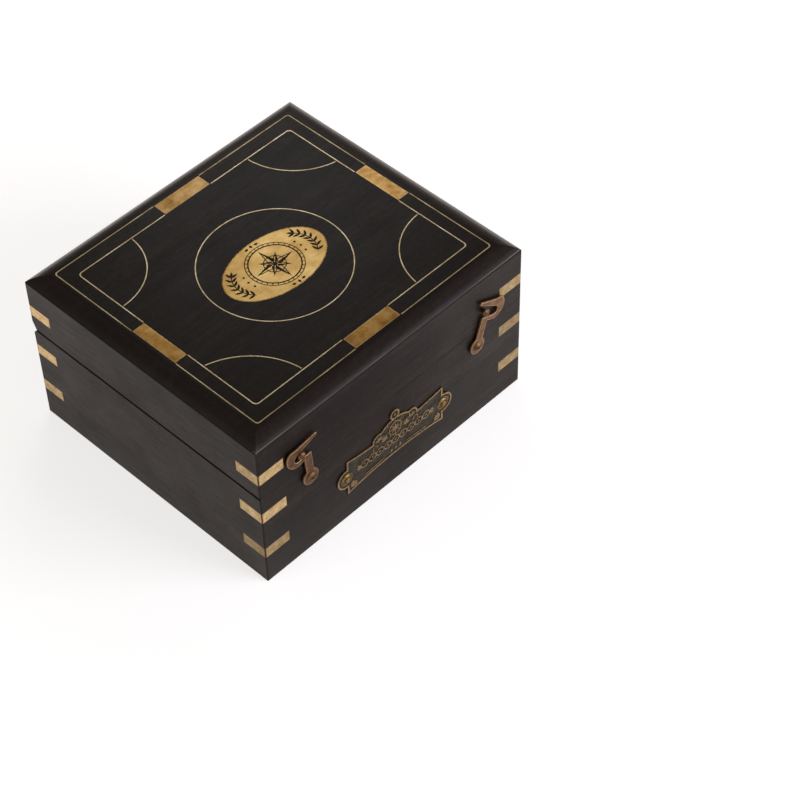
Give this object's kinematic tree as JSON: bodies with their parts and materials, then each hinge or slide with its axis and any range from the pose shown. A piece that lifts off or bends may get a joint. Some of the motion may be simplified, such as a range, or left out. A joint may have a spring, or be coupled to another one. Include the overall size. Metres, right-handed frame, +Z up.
{
  "type": "sextant box",
  "caption": "Dark hardwood case with a moulded hinged lid, flush brass line and corner inlays, a shaped brass plate and swing hooks that close over studs, lined for a sextant.",
  "frame": {"origin": "centre of the base's underside, on the surface that the box stands on", "axes": "+X along the front from left to right, the front with its hooks and plate faces -Y, the hinges are at +Y, +Z up"},
  "size_m": [0.2, 0.184, 0.1085],
  "materials": {
    "dark_wood": "ebonised close-grained hardwood under a satin varnish, faint brown grain",
    "block_wood": "plain dark-stained hardwood, matt",
    "inlay_brass": "aged brass inlay, flush, dulled with pale worn edges and brown stains",
    "corner_brass": "aged brass strips, pale and finely scratched",
    "medallion_brass": "dull brass plate with dark engraving",
    "plate_brass": "antiqued brass plate, dark field with lighter worn relief",
    "pin_brass": "small domed pins, coppery brass",
    "stud_brass": "small domed studs, coppery brass",
    "hook_bronze": "antiqued copper-brown brass, edges rubbed bright",
    "hinge_brass": "aged brass butt hinges",
    "velvet": "short-pile dark red velvet"
  },
  "bodies": {
    "base": {"base_back_board": "dark_wood", "base_bottom_panel": "dark_wood", "base_corner_inlay_back_left": "corner_brass", "base_corner_inlay_back_right": "corner_brass", "base_corner_inlay_front_left": "corner_brass", "base_corner_inlay_front_right": "corner_brass", "base_floor_lining": "velvet", "base_front_board": "dark_wood", "base_left_board": "dark_wood", "base_lining_back": "velvet", "base_lining_front": "velvet", "base_lining_left": "velvet", "base_lining_right": "velvet", "base_right_board": "dark_wood", "hinge_base_leaf_left": "hinge_brass", "hinge_base_leaf_right": "hinge_brass", "hinge_base_screws": "hinge_brass", "hinge_pin_left": "hinge_brass", "hinge_pin_right": "hinge_brass", "hook_pivot_screw_left": "hook_bronze", "hook_pivot_screw_right": "hook_bronze", "hook_washer_left": "hook_bronze", "hook_washer_right": "hook_bronze", "nameplate": "plate_brass", "nameplate_pins": "pin_brass", "rest_block_back_left": "block_wood", "rest_block_back_right": "block_wood", "rest_block_front": "block_wood"},
    "lid": {"hinge_lid_leaf_left": "hinge_brass", "hinge_lid_leaf_right": "hinge_brass", "hinge_lid_screws": "hinge_brass", "hook_stud_left": "stud_brass", "hook_stud_right": "stud_brass", "lid_back_board": "dark_wood", "lid_bar_inlay_back": "inlay_brass", "lid_bar_inlay_front": "inlay_brass", "lid_bar_inlay_left": "inlay_brass", "lid_bar_inlay_right": "inlay_brass", "lid_corner_arc_inlays": "inlay_brass", "lid_corner_inlay_back_left": "corner_brass", "lid_corner_inlay_back_right": "corner_brass", "lid_corner_inlay_front_left": "corner_brass", "lid_corner_inlay_front_right": "corner_brass", "lid_front_board": "dark_wood", "lid_left_board": "dark_wood", "lid_line_inlay_inner": "inlay_brass", "lid_line_inlay_outer": "inlay_brass", "lid_lining_back": "velvet", "lid_lining_front": "velvet", "lid_lining_left": "velvet", "lid_lining_right": "velvet", "lid_medallion": "medallion_brass", "lid_right_board": "dark_wood", "lid_ring_inlay": "inlay_brass", "lid_top_lining": "velvet", "lid_top_panel": "dark_wood"},
    "hook_left": {"hook_left": "hook_bronze"},
    "hook_right": {"hook_right": "hook_bronze"}
  },
  "joints": [
    {"name": "lid_hinge", "type": "hinge", "parent": "base", "child": "lid", "pos_m": [0, 0.0866, 0.0682], "axis": [-1, 0, 0], "range_deg": [0, 110]},
    {"name": "hook_left_pivot", "type": "hinge", "parent": "base", "child": "hook_left", "pos_m": [-0.0655, -0.0913, 0.0589], "axis": [0, -1, 0], "range_deg": [-2, 146]},
    {"name": "hook_right_pivot", "type": "hinge", "parent": "base", "child": "hook_right", "pos_m": [0.0628, -0.0913, 0.0581], "axis": [0, 1, 0], "range_deg": [-17, 131]}
  ]
}
